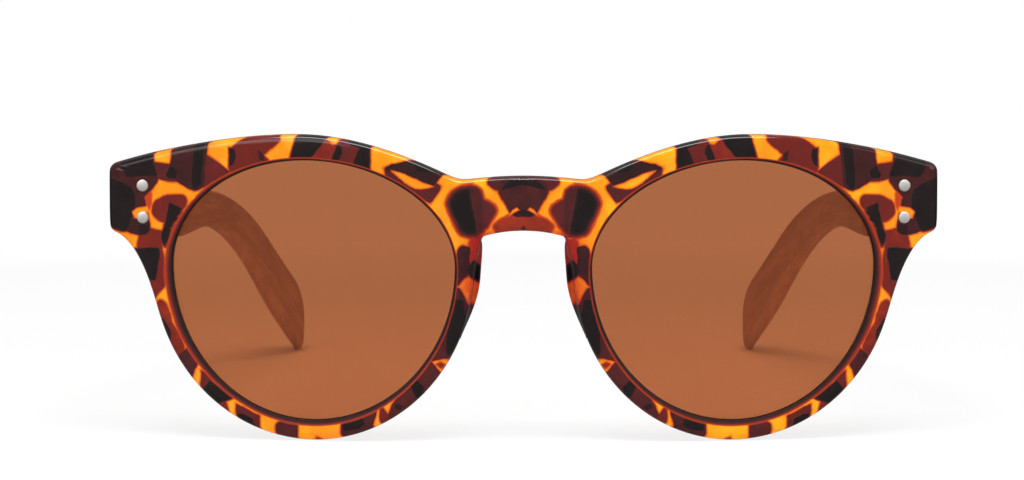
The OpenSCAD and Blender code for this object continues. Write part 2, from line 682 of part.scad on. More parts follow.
// The temple narrows from the belly to the ear, and swells again to the tail
belly_s = 0.69 * temple_run;
swell_l = 0.93 * (ear_l + tail_l);
belly_h = mix(ear_h, temple_h, 0.82);
function height_at(s) =
    s < belly_s ? mix(temple_h, belly_h, s / belly_s) :
    s < temple_run ? mix(belly_h, ear_h, ease((s - belly_s) / (temple_run - belly_s))) :
    mix(ear_h, tail_h, ease((s - temple_run) / swell_l));
lean_y = butt_y + lean_start;
tip_y = butt_y + temple_reach;
function lean_part(y) = max(0, (y - lean_y) / (tip_y - lean_y));
function inner_x(y) = temple_x - tail_lean * pow(lean_part(y), lean_bend);
function inner_slope(y) = lean_bend * tail_lean * pow(lean_part(y), lean_bend - 1) / (tip_y - lean_y);
// Sections are upright at the hinge and square to the path further back.
// At the tail's end the upper edge falls to the lower one on a quarter of an ellipse.
upright_l = 14;
butt_r = 0.6;
function temple_ring(s) =
    let (
        h = height_at(s),
        tilt = path_a(s) * ease(s / upright_l),
        up = [sin(tilt), cos(tilt)],
        left = sqrt(1 - pow(max(0, s - temple_l) / tail_tip, 2)),
        mid = [butt_y, temple_top] + path_pt(s) - up * h * (1 - left / 2),
        butt_cut = s < butt_r ? round_drop(s, butt_r) : 0,
        shrink = butt_cut + temple_edge * (1 - left),
        hh = h * left / 2 - butt_cut,
        t = mix(temple_t, tail_t, ease(s / temple_run)) * sqrt(1 + pow(inner_slope(mid[0]), 2)),
        x0 = inner_x(mid[0]) + shrink,
        x1 = inner_x(mid[0]) + t - shrink,
        r = min(temple_edge, 0.45 * (x1 - x0), 0.6 * hh)
    )
    [for (c = [[x1, 1, 0], [x0, 1, 90], [x0, -1, 180], [x1, -1, 270]]) for (a = [0:30:90])
        let (
            x = c[0] + r * (cos(c[2] + a) - sign(cos(c[2] + 45))),
            v = c[1] * (hh - r) + r * sin(c[2] + a)
        )
        [x, mid[0] + up[0] * v, mid[1] + up[1] * v]];
temple_stations = concat(
    [for (t = [0, 0.12, 0.4, 1]) t * butt_r],
    [for (i = [1:6]) upright_l * i / 6],
    [for (i = [1:13]) mix(upright_l, temple_run, i / 13)],
    [for (i = [1:9]) temple_run + ear_l * i / 9],
    [for (i = [1:6]) mix(temple_run + ear_l, temple_l, i / 6)],
    [for (a = [15:15:75]) temple_l + tail_tip * sin(a)],
    [temple_l + tail_tip * sin(83)]
);
temple_n = 16;

module temple(side) {
    pocket = seat_gap / 2;
    color([0.76, 0.56, 0.36])
    on_side(side)
    difference() {
        polyhedron(
            joined([for (s = temple_stations) temple_ring(s)]),
            tube_faces(len(temple_stations), temple_n));
        face_block(temple_x - 1, temple_x + box_sunk, butt_y - 1, tab_end + pocket, box_h + 2 * pocket);
        for (y = tab_screw_y)
            x_rod(temple_x, temple_x + tab_screw_l, y, hinge_z,
                tab_screw_d + 2 * pin_gap, tab_screw_d + 2 * pin_gap);
    }
}

front_frame();
lens("right");  // right_lens
lens("left");  // left_lens
nose_pad("right");  // right_nose_pad
nose_pad("left");  // left_nose_pad
front_hinge("right");  // right_front_hinge
front_hinge("left");  // left_front_hinge
front_rivets("right");  // right_front_rivets
front_rivets("left");  // left_front_rivets
hinge_screw("right");  // right_hinge_screw
hinge_screw("left");  // left_hinge_screw
spring_tongue("right");  // right_spring_tongue
spring_tongue("left");  // left_spring_tongue
hinge_spring("right");  // right_hinge_spring
hinge_spring("left");  // left_hinge_spring
spring_stop("right");  // right_spring_stop
spring_stop("left");  // left_spring_stop
spring_housing("right");  // right_spring_housing
spring_housing("left");  // left_spring_housing
housing_screws("right");  // right_housing_screws
housing_screws("left");  // left_housing_screws
temple("right");  // right_temple
temple("left");  // left_temple
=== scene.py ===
import bpy
import json
import math
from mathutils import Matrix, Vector
from mathutils.kdtree import KDTree

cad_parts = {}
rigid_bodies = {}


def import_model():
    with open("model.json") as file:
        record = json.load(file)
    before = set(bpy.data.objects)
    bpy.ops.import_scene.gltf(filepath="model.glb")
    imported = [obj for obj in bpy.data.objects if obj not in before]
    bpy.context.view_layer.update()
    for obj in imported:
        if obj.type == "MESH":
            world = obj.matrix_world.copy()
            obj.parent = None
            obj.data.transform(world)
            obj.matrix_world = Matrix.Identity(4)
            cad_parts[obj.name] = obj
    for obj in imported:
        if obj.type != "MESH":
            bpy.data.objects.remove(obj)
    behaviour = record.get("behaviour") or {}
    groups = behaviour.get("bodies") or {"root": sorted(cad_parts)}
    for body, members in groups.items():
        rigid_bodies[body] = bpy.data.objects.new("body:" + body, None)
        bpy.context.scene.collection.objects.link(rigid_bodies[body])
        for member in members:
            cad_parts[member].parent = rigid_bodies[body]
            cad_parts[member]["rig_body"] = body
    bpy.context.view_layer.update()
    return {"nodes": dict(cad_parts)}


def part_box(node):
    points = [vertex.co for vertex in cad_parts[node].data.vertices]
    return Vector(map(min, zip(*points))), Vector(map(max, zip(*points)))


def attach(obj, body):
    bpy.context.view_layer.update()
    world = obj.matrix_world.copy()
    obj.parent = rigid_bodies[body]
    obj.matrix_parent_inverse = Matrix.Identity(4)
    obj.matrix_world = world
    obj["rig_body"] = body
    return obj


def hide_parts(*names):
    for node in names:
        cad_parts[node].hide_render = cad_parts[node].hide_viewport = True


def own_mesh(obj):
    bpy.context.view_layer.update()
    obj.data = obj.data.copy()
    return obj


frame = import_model()
print("frame loaded,", len(frame["nodes"]), "nodes")

mm = 0.001
sides = {"right": -1, "left": 1}    # the wearer's sides


def pickOnly(obj):
    bpy.ops.object.select_all(action="DESELECT")
    obj.select_set(True)
    bpy.context.view_layer.objects.active = obj


def applyModifier(obj, kind, **values):
    mod = obj.modifiers.new(kind.lower(), kind)
    for key, value in values.items():
        setattr(mod, key, value)
    pickOnly(obj)
    bpy.ops.object.modifier_apply(modifier=mod.name)


# a copy with its own mesh
def copyPiece(source, name):
    obj = source.copy()
    obj.data = source.data.copy()
    obj.name = obj.data.name = name
    bpy.context.scene.collection.objects.link(obj)
    pickOnly(obj)
    return obj


mergeWork = {"merge": 1e-6, "flat": 30, "square": 60}    # merge distance in m, angles in degrees


# a merged copy of a CAD node to work on
def copyNode(node, name):
    obj = copyPiece(frame["nodes"][node], name)
    obj.parent = None
    for key in list(obj.keys()):
        del obj[key]
    bpy.ops.mesh.customdata_custom_splitnormals_clear()
    bpy.ops.object.mode_set(mode="EDIT")
    bpy.ops.mesh.select_all(action="SELECT")
    bpy.ops.mesh.remove_doubles(threshold=mergeWork["merge"])
    bpy.ops.mesh.tris_convert_to_quads(face_threshold=math.radians(mergeWork["flat"]),
                                       shape_threshold=math.radians(mergeWork["square"]))
    bpy.ops.object.mode_set(mode="OBJECT")
    return obj


# rounds the surfaces between edges that stay sharp
def roundSurface(obj, shape):
    pickOnly(obj)
    bpy.ops.object.mode_set(mode="EDIT")
    bpy.ops.mesh.select_mode(type="EDGE")
    bpy.ops.mesh.select_all(action="DESELECT")
    bpy.ops.mesh.edges_select_sharp(sharpness=math.radians(shape["sharp"]))
    bpy.ops.transform.edge_crease(value=1)
    bpy.ops.object.mode_set(mode="OBJECT")
    applyModifier(obj, "SUBSURF", levels=shape["levels"], render_levels=shape["levels"])
    bpy.ops.object.shade_smooth_by_angle(angle=math.radians(shape["sharp"]))


edgeWork = {"flat": 0.5, "sharp": 40, "smooth": 35, "segments": 2}    # angles in degrees


# breaks the edges of a metal part
def breakEdges(obj, width):
    pickOnly(obj)
    bpy.ops.object.mode_set(mode="EDIT")
    bpy.ops.mesh.select_all(action="SELECT")
    bpy.ops.mesh.dissolve_limited(angle_limit=math.radians(edgeWork["flat"]))
    bpy.ops.object.mode_set(mode="OBJECT")
    applyModifier(obj, "BEVEL", width=width, segments=edgeWork["segments"], limit_method="ANGLE",
                  angle_limit=math.radians(edgeWork["sharp"]), use_clamp_overlap=True, harden_normals=False)
    bpy.ops.object.shade_smooth_by_angle(angle=math.radians(edgeWork["smooth"]))


def standFor(obj, node, finish):
    obj.data.materials.clear()
    obj.data.materials.append(finish)
    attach(obj, frame["nodes"][node]["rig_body"])
    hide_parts(node)


# a node with its settings by name, and its inputs by place or name
def addNode(tree, kind, feeds=None, **settings):
    node = tree.nodes.new(kind)
    for key, value in settings.items():
        setattr(node, key, value)
    for key, value in (feeds or {}).items():
        if isinstance(value, bpy.types.NodeSocket):
            tree.links.new(value, node.inputs[key])
        else:
            node.inputs[key].default_value = value
    return node


def mathNode(tree, operation, a, b=0.0, c=0.0):
    return addNode(tree, "ShaderNodeMath", {0: a, 1: b, 2: c}, operation=operation).outputs[0]


def most(tree, *values):
    top = values[0]
    for value in values[1:]:
        top = mathNode(tree, "MAXIMUM", top, value)
    return top


def remap(tree, value, fromMin, fromMax, toMin=0.0, toMax=1.0):
    return addNode(tree, "ShaderNodeMapRange", {0: value, 1: fromMin, 2: fromMax, 3: toMin, 4: toMax},
                   interpolation_type="SMOOTHSTEP").outputs[0]


def vectorTimes(tree, a, b):
    return addNode(tree, "ShaderNodeVectorMath", {0: a, 1: b}, operation="MULTIPLY").outputs[0]


def splitVector(tree, value):
    return addNode(tree, "ShaderNodeSeparateXYZ", {0: value}).outputs


def noise(tree, place, scale, detail, **more):
    return addNode(tree, "ShaderNodeTexNoise",
                   {"Vector": place, "Scale": scale, "Detail": detail, **more}).outputs


def readMark(tree, name, output="Fac"):
    return addNode(tree, "ShaderNodeAttribute", attribute_name=name).outputs[output]


def mixColour(tree, factor, a, b, blend="MIX"):
    return addNode(tree, "ShaderNodeMix", {0: factor, 6: a, 7: b}, data_type="RGBA",
                   blend_type=blend).outputs[2]


def ramp(tree, value, stops):
    node = addNode(tree, "ShaderNodeValToRGB", {0: value})
    band = node.color_ramp
    while len(band.elements) < len(stops):
        band.elements.new(0.5)
    for element, (place, colour) in zip(band.elements, stops):
        element.position = place
        element.color = colour
    return node.outputs[0]


def addBump(tree, shader, height, strength, deep):
    bump = addNode(tree, "ShaderNodeBump", {"Height": height, "Strength": strength, "Distance": deep})
    tree.links.new(bump.outputs[0], shader.inputs["Normal"])


def newGroup(name, inputs, outputs):
    group = bpy.data.node_groups.new(name, "ShaderNodeTree")
    for label, kind, start in inputs:
        socket = group.interface.new_socket(label, in_out="INPUT", socket_type="NodeSocket" + kind)
        if start is not None:
            socket.default_value = start
    for label, kind in outputs:
        group.interface.new_socket(label, in_out="OUTPUT", socket_type="NodeSocket" + kind)
    return group, group.nodes.new("NodeGroupInput"), group.nodes.new("NodeGroupOutput")


def useGroup(tree, group, feeds):
    return addNode(tree, "ShaderNodeGroup", feeds, node_tree=group).outputs


def newFinish(name):
    finish = bpy.data.materials.new(name)
    finish.use_nodes = True
    tree = finish.node_tree
    return finish, tree, tree.nodes["Principled BSDF"]


def objectPoint(tree):
    return tree.nodes.new("ShaderNodeTexCoord").outputs["Object"]


def pointInMm(tree, place):
    return vectorTimes(tree, place, (1 / mm, 1 / mm, 1 / mm))


# sRGB numbers, made linear
def rgb(*numbers):
    shares = [number / 255 for number in numbers]
    return (*((s / 12.92 if s <= 0.04045 else ((s + 0.055) / 1.055) ** 2.4) for s in shares), 1.0)


# tortoiseshell: dark blots in amber, the same on both halves, as strength, softness and corners in mm
blotShape = {"round": 0.2, "roundMin": 0.25, "roundMax": 1.1, "grow": 0.2, "clearSoft": 0.13,
             "faceY": -70.98, "faceRadius": 300.0, "driftX": 0.45, "driftZ": 0.3,
             "stir": 0.45, "stirRough": 0.55, "ragged": 0.7}
darkBlots = [
    # end block
    (0.76, 0.13, [(75.6, 42.2), (75.6, 51.3), (66.5, 51.8), (64.9, 46.5), (68.3, 42.4)]),
    (0.76, 0.13, [(75.6, 43.3), (67.8, 43.1), (66.9, 39.9), (66.7, 37.2), (67.4, 36.5), (68.7, 36.4),
                  (70.9, 36.9), (75.6, 38.5)]),
    (0.95, 0.3, [(66.7, 51.1), (65.0, 46.9), (70.9, 46.6), (72.1, 49.6)]),
    (0.95, 0.3, [(75.6, 38.8), (75.6, 46.7), (73.2, 46.4), (69.6, 44.5), (69.0, 42.5), (70.1, 38.6),
                 (70.9, 37.0), (73.1, 37.3)]),
    (0.9, 0.3, [(68.5, 36.5), (68.5, 38.1), (66.9, 38.1), (66.7, 37.2), (67.4, 36.5)]),
    (0.3, 0.13, [(66.7, 44.3), (66.5, 41.9), (66.9, 41.1), (68.1, 41.3), (68.1, 42.7)]),
    # brow end
    (0.77, 0.13, [(62.3, 53.0), (56.0, 54.5), (56.9, 45.0), (58.3, 44.4), (61.6, 46.0), (62.7, 48.0)]),
    (0.66, 0.13, [(65.8, 49.2), (64.3, 49.1), (62.9, 48.9), (61.8, 48.2), (61.4, 46.0), (63.8, 46.2),
                  (65.0, 46.5)]),
    (0.6, 0.13, [(56.9, 51.2), (52.2, 47.8), (54.6, 46.1), (57.1, 44.9)]),
    (0.95, 0.3, [(61.6, 47.8), (61.8, 46.5), (63.2, 46.5), (63.6, 47.2), (62.7, 48.7)]),
    (0.95, 0.3, [(58.5, 44.5), (59.1, 45.5), (58.2, 53.0), (56.5, 53.4), (56.9, 48.9), (57.4, 45.2)]),
    # brow
    (0.56, 0.13, [(43.6, 54.6), (43.2, 53.5), (45.9, 50.8), (50.2, 47.8), (52.0, 47.8), (51.9, 51.8),
                  (49.0, 54.2)]),
    (0.56, 0.13, [(50.2, 47.4), (50.2, 51.7), (46.1, 50.8), (45.2, 49.8), (47.6, 48.4)]),
    (0.92, 0.3, [(52.0, 49.0), (52.0, 52.0), (51.2, 52.0), (51.0, 50.8), (51.3, 49.4)]),
    (0.8, 0.13, [(46.1, 50.8), (45.9, 49.8), (46.7, 50.0), (46.8, 51.5)]),
    (0.95, 0.3, [(39.9, 55.3), (34.9, 54.8), (35.1, 54.0), (35.6, 52.7), (36.7, 51.5), (38.1, 49.9),
                 (41.2, 49.8)]),
    (0.48, 0.13, [(38.8, 49.9), (36.0, 54.1), (35.1, 53.8), (33.5, 52.4), (34.0, 49.5)]),
    (0.48, 0.13, [(34.2, 52.4), (32.4, 52.9), (32.9, 51.5), (34.0, 49.5), (35.6, 49.5)]),
    (0.92, 0.3, [(34.1, 49.5), (32.7, 52.8), (32.1, 52.2), (31.9, 51.4), (32.8, 49.6)]),
    (0.6, 0.13, [(32.4, 54.3), (27.4, 53.5), (29.6, 48.9), (33.1, 49.4)]),
    (0.95, 0.3, [(31.5, 53.8), (27.3, 53.1), (27.4, 52.1), (30.3, 52.6)]),
    (0.95, 0.3, [(27.2, 51.5), (27.2, 48.2), (30.3, 48.9), (29.7, 50.5), (28.9, 52.6), (27.3, 53.0)]),
    (0.84, 0.13, [(18.6, 50.5), (14.4, 47.9), (15.1, 46.5), (16.0, 45.6), (16.8, 45.5), (23.4, 48.0),
                  (24.4, 48.6), (23.7, 49.1), (20.0, 50.2)]),
    (0.68, 0.13, [(16.3, 42.6), (22.3, 45.9), (24.1, 47.3), (24.4, 48.6), (21.8, 48.0), (14.7, 45.7),
                  (14.5, 45.3), (15.1, 44.4)]),
    (0.96, 0.3, [(16.3, 49.1), (16.8, 47.9), (18.6, 48.2), (19.8, 50.2), (18.4, 50.5)]),
    # bridge
    (0.98, 1, [(9.4, 45.6), (8.0, 37.9), (8.0, 37.1), (9.6, 36.8), (11.0, 37.1), (11.8, 38.4), (13.5, 42.3),
               (13.2, 43.5), (12.1, 44.7), (10.8, 45.4)]),
    (0.74, 0.6, [(7.0, 37.7), (8.0, 37.0), (9.8, 45.6), (8.4, 45.5), (7.5, 44.9), (7.1, 43.9)]),
    (0.66, 0.6, [(8.7, 38.8), (8.4, 43.9), (5.7, 42.6), (4.9, 41.8), (4.8, 41.0), (5.4, 39.8), (7.0, 37.8),
                 (8.0, 37.0)]),
    (0.7, 0.25, [(3.1, 48.1), (3.1, 44.9), (4.7, 44.9), (5.7, 45.5), (6.3, 46.2), (6.3, 47.2),
                 (6.1, 48.1)]),
    (0.74, 0.25, [(-2.2, 48.5), (-2.2, 40.7), (2.1, 40.7), (4.5, 44.8), (3.3, 48.1)]),
    (0.95, 0.25, [(4.0, 44.9), (3.1, 46.1), (2.0, 46.9), (-1.1, 47.6), (-1.1, 46.2), (2.9, 45.1)]),
    (0.88, 0.25, [(1.3, 40.3), (1.8, 40.6), (1.0, 41.4), (-1.1, 41.6), (-1.1, 40.3)]),
    (0.44, 0.25, [(-2.2, 41.0), (-2.2, 36.5), (4.1, 36.5), (4.9, 37.7), (5.2, 38.4), (4.5, 39.4),
                  (2.2, 40.7), (0.1, 41.0)]),
    (0.74, 0.25, [(-1.1, 38.6), (-1.1, 36.8), (0.9, 37.4), (0.0, 38.6)]),
    # nose side
    (0.76, 0.13, [(10.8, 34.8), (9.6, 34.7), (9.7, 30.1), (12.2, 27.8), (12.1, 32.2), (11.5, 34.3)]),
    (0.34, 0.13, [(9.3, 31.5), (9.8, 32.9), (9.4, 35.9), (8.7, 36.6), (7.5, 36.5), (7.7, 34.4),
                  (8.7, 32.2)]),
    (0.95, 0.3, [(7.5, 29.2), (8.2, 28.4), (8.9, 28.9), (9.8, 30.2), (9.8, 31.0), (8.7, 32.4), (7.8, 32.9),
                 (6.6, 33.1), (7.0, 30.8)]),
    (0.38, 0.13, [(9.3, 22.2), (9.7, 23.4), (8.9, 28.5), (7.1, 29.8), (7.1, 27.3), (8.0, 24.8)]),
    (0.72, 0.13, [(16.5, 14.5), (12.2, 27.6), (11.2, 27.4), (10.5, 26.1), (9.3, 22.7), (10.1, 19.5),
                  (12.6, 15.5), (14.5, 14.9)]),
    (0.95, 0.3, [(10.8, 25.5), (10.1, 22.5), (10.5, 19.5), (12.1, 16.7), (13.5, 15.6), (13.7, 17.6),
                 (13.0, 23.4), (12.1, 25.5)]),
    # lower rim
    (0.45, 0.13, [(14.3, 13.9), (14.6, 13.5), (15.2, 13.9), (14.7, 14.2)]),
    (0.7, 0.13, [(20.9, 5.9), (22.7, 8.0), (19.7, 11.6), (16.4, 14.4), (14.9, 12.3), (17.2, 8.8)]),
    (0.7, 0.13, [(19.7, 10.5), (18.2, 7.9), (20.9, 5.9), (23.7, 4.1), (23.9, 4.6), (23.0, 7.1)]),
    (0.95, 0.3, [(19.0, 11.1), (17.7, 9.9), (17.9, 8.4), (18.8, 7.9), (19.5, 8.9), (20.0, 10.3)]),
    (0.9, 0.3, [(21.4, 6.5), (21.8, 5.9), (22.7, 6.0), (22.8, 6.6), (22.3, 6.9)]),
    (0.56, 0.13, [(25.3, 6.2), (23.8, 4.4), (25.1, 3.0), (25.4, 4.6)]),
    (0.74, 0.13, [(32.2, 4.2), (26.0, 6.4), (26.3, 4.6), (27.2, 2.1), (32.2, 0.1)]),
    (0.95, 0.3, [(31.9, 1.9), (32.1, 3.7), (28.7, 4.8), (28.3, 3.0), (29.4, 2.3)]),
    (0.46, 0.13, [(36.0, -0.3), (37.1, -0.1), (36.8, 0.6), (36.3, 0.5)]),
    (0.7, 0.13, [(40.3, 2.8), (40.5, -0.4), (44.2, 0.1), (43.8, 2.9), (42.5, 3.5)]),
    (0.62, 0.13, [(51.1, 3.1), (51.0, 6.3), (49.0, 5.3), (47.0, 4.3), (47.3, 1.2)]),
    (0.95, 0.3, [(47.9, 1.4), (51.1, 3.1), (51.0, 4.5), (49.9, 4.5), (48.4, 3.9)]),
    (0.5, 0.13, [(52.8, 4.1), (56.9, 6.0), (55.8, 6.6), (53.2, 7.0), (52.9, 5.9)]),
    (0.95, 0.3, [(55.8, 10.5), (51.7, 7.7), (53.2, 6.9), (55.6, 6.4), (57.5, 8.5)]),
    (0.58, 0.13, [(57.3, 12.0), (55.5, 10.8), (57.4, 8.3), (57.6, 9.2)]),
    # outer rim
    (0.74, 0.13, [(59.9, 10.3), (61.9, 14.4), (59.8, 16.3), (58.0, 13.9), (59.2, 11.4)]),
    (0.47, 0.13, [(62.7, 20.2), (63.6, 17.4), (65.9, 21.6), (66.1, 23.5), (65.4, 24.3), (64.7, 24.6),
                  (63.8, 24.1), (63.1, 22.5)]),
    (0.49, 0.13, [(64.3, 17.5), (65.2, 23.0), (62.9, 20.9), (61.2, 18.0), (60.6, 16.2), (61.2, 15.0),
                  (62.0, 14.2)]),
    (0.88, 0.3, [(64.1, 17.7), (65.2, 21.6), (64.3, 21.3), (63.0, 18.8), (63.1, 17.7)]),
    (0.52, 0.13, [(67.9, 28.5), (66.5, 34.4), (64.6, 34.2), (63.9, 31.2), (63.7, 29.1), (63.9, 27.5),
                  (64.7, 26.4), (66.3, 24.8)]),
    (0.95, 0.3, [(64.8, 33.3), (65.8, 28.2), (67.6, 28.5), (69.4, 33.8), (65.2, 34.0)]),
    (0.5, 0.13, [(66.9, 37.5), (64.4, 36.9), (64.5, 33.9), (68.8, 33.7), (68.5, 36.4)]),
    # below the rivets
    (0.55, 0.13, [(59.9, 42.9), (60.0, 41.8), (61.0, 40.7), (62.1, 39.6), (63.8, 38.8), (64.7, 38.9),
                  (65.6, 39.6), (66.1, 40.8), (65.9, 41.9), (65.0, 42.7), (63.8, 43.3), (62.0, 43.5),
                  (60.5, 43.4)]),
    (0.94, 0.3, [(63.0, 42.1), (60.7, 41.1), (63.0, 34.3), (63.9, 34.3), (64.5, 36.0), (63.9, 38.7)]),
]
clearBlots = [
    # lower rivet
    [(66.7, 40.6), (68.5, 39.2), (69.4, 39.4), (69.7, 40.4), (68.9, 41.2), (67.0, 41.4)],
    # brow
    [(20.7, 46.0), (23.0, 48.2), (22.1, 48.0), (19.7, 47.1), (17.4, 46.1), (16.0, 45.5), (17.2, 45.2),
     (19.0, 45.2)],
    # bridge
    [(0.9, 41.4), (2.2, 40.7), (1.9, 41.1), (1.1, 41.6)],
]


# how far a point lies outside a blot, with the blot's corners rounded
def blotDistance(tree, point, corners):
    corners = [Vector(corner) for corner in corners]
    middle = sum(corners, Vector((0, 0))) / len(corners)
    span = sum((corner - middle).length for corner in corners) / len(corners)
    rounding = min(blotShape["roundMax"], max(blotShape["roundMin"], blotShape["round"] * span))
    distance = None
    for a, b in zip(corners, corners[1:] + corners[:1]):
        edge = (b - a).normalized()
        out = Vector((edge.y, -edge.x))
        if out.dot(a - middle) < 0:
            out = -out
        line = (out.x, -out.dot(a) - blotShape["grow"], out.y)
        side = addNode(tree, "ShaderNodeVectorMath", {0: point, 1: line},
                       operation="DOT_PRODUCT").outputs["Value"]
        distance = side if distance is None else mathNode(tree, "SMOOTH_MAX", distance, side, rounding)
    return distance


def makeBlots():
    tree, ins, outs = newGroup("tortoiseBlots", [("Vector", "Vector", None)],
                               [("Tone", "Float"), ("Edge", "Float")])
    parts = splitVector(tree, pointInMm(tree, ins.outputs["Vector"]))
    half = mathNode(tree, "ABSOLUTE", parts["X"])
    # the blots drift sideways and up with the depth under the curved face
    sag = mathNode(tree, "MULTIPLY", half, half)
    behind = mathNode(tree, "MULTIPLY_ADD", sag, -0.5 / blotShape["faceRadius"], parts["Y"])
    depth = mathNode(tree, "MAXIMUM", mathNode(tree, "SUBTRACT", behind, blotShape["faceY"]), 0.0)
    across = mathNode(tree, "MULTIPLY_ADD", depth, blotShape["driftX"], half)
    up = mathNode(tree, "MULTIPLY_ADD", depth, blotShape["driftZ"], parts["Z"])
    # and their edges are a little ragged
    folded = addNode(tree, "ShaderNodeCombineXYZ", {0: half, 1: parts["Y"], 2: parts["Z"]}).outputs[0]
    stir = noise(tree, folded, blotShape["stir"], 3.0, Roughness=blotShape["stirRough"])["Color"]
    stirX, stirZ, _ = addNode(tree, "ShaderNodeSeparateColor", {0: stir}).outputs
    ragged = blotShape["ragged"]
    moveX = mathNode(tree, "MULTIPLY_ADD", mathNode(tree, "SUBTRACT", stirX, 0.5), ragged, across)
    moveZ = mathNode(tree, "MULTIPLY_ADD", mathNode(tree, "SUBTRACT", stirZ, 0.5), ragged, up)
    point = addNode(tree, "ShaderNodeCombineXYZ", {0: moveX, 1: 1.0, 2: moveZ}).outputs[0]
    tone = nearest = None
    for strength, soft, corners in darkBlots:
        distance = blotDistance(tree, point, corners)
        mark = remap(tree, distance, soft, -soft, 0.0, strength)
        tone = mark if tone is None else mathNode(tree, "MAXIMUM", tone, mark)
        nearest = distance if nearest is None else mathNode(tree, "MINIMUM", nearest, distance)
    soft = blotShape["clearSoft"]
    for corners in clearBlots:
        distance = blotDistance(tree, point, corners)
        tone = mathNode(tree, "MULTIPLY", tone, remap(tree, distance, soft, -soft, 1.0, 0.0))
        nearest = mathNode(tree, "MAXIMUM", nearest, mathNode(tree, "MULTIPLY", distance, -1.0))
    tree.links.new(tone, outs.inputs["Tone"])
    tree.links.new(nearest, outs.inputs["Edge"])
    return tree


handlingLook = {"detail": 4.0, "scratch": (0.35, 0.7), "smear": (0.4, 0.7), "smearScale": 0.22,
                "smearRough": 0.6}


# fine scratches and smears, for every polished surface
def makeHandling():
    inputs = [("Vector", "Vector", None), ("Fine", "Float", 60.0), ("Along", "Vector", (1, 1, 1))]
    tree, ins, outs = newGroup("handlingMarks", inputs, [("Scratch", "Float"), ("Smear", "Float")])
    place = pointInMm(tree, ins.outputs["Vector"])
    drawn = vectorTimes(tree, place, ins.outputs["Along"])
    lines = noise(tree, drawn, ins.outputs["Fine"], handlingLook["detail"])[0]
    smear = noise(tree, place, handlingLook["smearScale"], handlingLook["detail"],
                  Roughness=handlingLook["smearRough"])[0]
    tree.links.new(remap(tree, lines, *handlingLook["scratch"]), outs.inputs["Scratch"])
    tree.links.new(remap(tree, smear, *handlingLook["smear"]), outs.inputs["Smear"])
    return tree


blots = makeBlots()
handling = makeHandling()

shellLook = {"yellow": rgb(255, 170, 8), "amber": rgb(252, 144, 2), "rust": rgb(200, 66, 4),
             "cloud": 180.0, "cloudRange": (0.38, 0.66), "rustRange": (-0.05, 0.5),
             "fleck": 420.0, "fleckShare": 0.16, "toneRange": (0.02, 0.3), "ringShadeRange": (0.06, 0.34),
             "roughness": 0.1, "smear": 0.1, "groove": 0.9, "grooveRange": (0.3, 0.6),
             "ior": 1.49, "specular": 0.5, "wavy": 140.0, "bump": 0.05, "bumpDeep": 0.0004}
padLook = dict(shellLook, roughness=0.24, specular=0.05)
noseDepth = (0.64, 0.2, 0.5, 1.0)    # the light that is left where a pad lies behind
shellBrowns = [(0.3, rgb(190, 56, 10)), (0.5, rgb(116, 26, 12)), (0.6, rgb(94, 23, 18)),
               (0.7, rgb(76, 22, 22)), (0.78, rgb(54, 15, 15)), (0.93, rgb(25, 9, 9)), (1.0, rgb(9, 2, 2))]
# painted shade ring round the lens: orange, then red, then nearly black
shellEdgeShade = [(0.2, rgb(200, 62, 6)), (0.44, rgb(128, 26, 4)), (0.68, rgb(78, 8, 4)), (0.94, rgb(24, 4, 3))]


def makeShell(name, look):
    finish, tree, shader = newFinish(name)
    place = objectPoint(tree)
    pattern = useGroup(tree, blots, {"Vector": place})
    marks = useGroup(tree, handling, {"Vector": place})
    cloud = noise(tree, place, look["cloud"], 3.0)[0]
    warm = mixColour(tree, remap(tree, cloud, *look["cloudRange"]), look["amber"], look["yellow"])
    amber = mixColour(tree, remap(tree, pattern["Edge"], *look["rustRange"]), look["rust"], warm)
    fleck = mathNode(tree, "SUBTRACT", noise(tree, place, look["fleck"], 4.0)[0], 0.5)
    depthTone = mathNode(tree, "MULTIPLY_ADD", fleck, look["fleckShare"], pattern["Tone"])
    brown = ramp(tree, depthTone, shellBrowns)
    colour = mixColour(tree, remap(tree, pattern["Tone"], *look["toneRange"]), amber, brown)
    # painted shade around the lens: the rim turns orange, then red, then nearly black at the lens, partly
    # the deeper colour of amber seen edge-on, mostly a painted shadow of the groove and a painted reflection
    # of the dark lens
    wall = readMark(tree, "lensRingShade")
    colour = mixColour(tree, remap(tree, wall, *look["ringShadeRange"]), colour, ramp(tree, wall, shellEdgeShade))
    colour = mixColour(tree, readMark(tree, "padBehind"), colour, noseDepth, "MULTIPLY")
    tree.links.new(colour, shader.inputs["Base Color"])
    # the groove of the lens is cut and not polished
    polish = remap(tree, marks["Smear"], 0.0, 1.0, look["roughness"], look["roughness"] + look["smear"])
    cut = remap(tree, wall, *look["grooveRange"], 0.0, look["groove"])
    tree.links.new(mathNode(tree, "MAXIMUM", polish, cut), shader.inputs["Roughness"])
    shader.inputs["IOR"].default_value = look["ior"]
    shader.inputs["Specular IOR Level"].default_value = look["specular"]
    addBump(tree, shader, noise(tree, place, look["wavy"], 1.0)[0], look["bump"], look["bumpDeep"])
    return finish


lensLook = {"foot": rgb(176, 101, 58), "top": rgb(171, 101, 61), "topZ": 0.05, "smear": 0.015, "ior": 1.5}


def makeLensTint():
    finish, tree, shader = newFinish("brownLens")
    place = objectPoint(tree)
    marks = useGroup(tree, handling, {"Vector": place})
    height = splitVector(tree, place)["Z"]
    tint = mixColour(tree, remap(tree, height, 0.0, lensLook["topZ"]), lensLook["foot"], lensLook["top"])
    tree.links.new(tint, shader.inputs["Base Color"])
    tree.links.new(remap(tree, marks["Smear"], 0.0, 1.0, 0.0, lensLook["smear"]), shader.inputs["Roughness"])
    shader.inputs["Transmission Weight"].default_value = 1.0
    shader.inputs["IOR"].default_value = lensLook["ior"]
    return finish


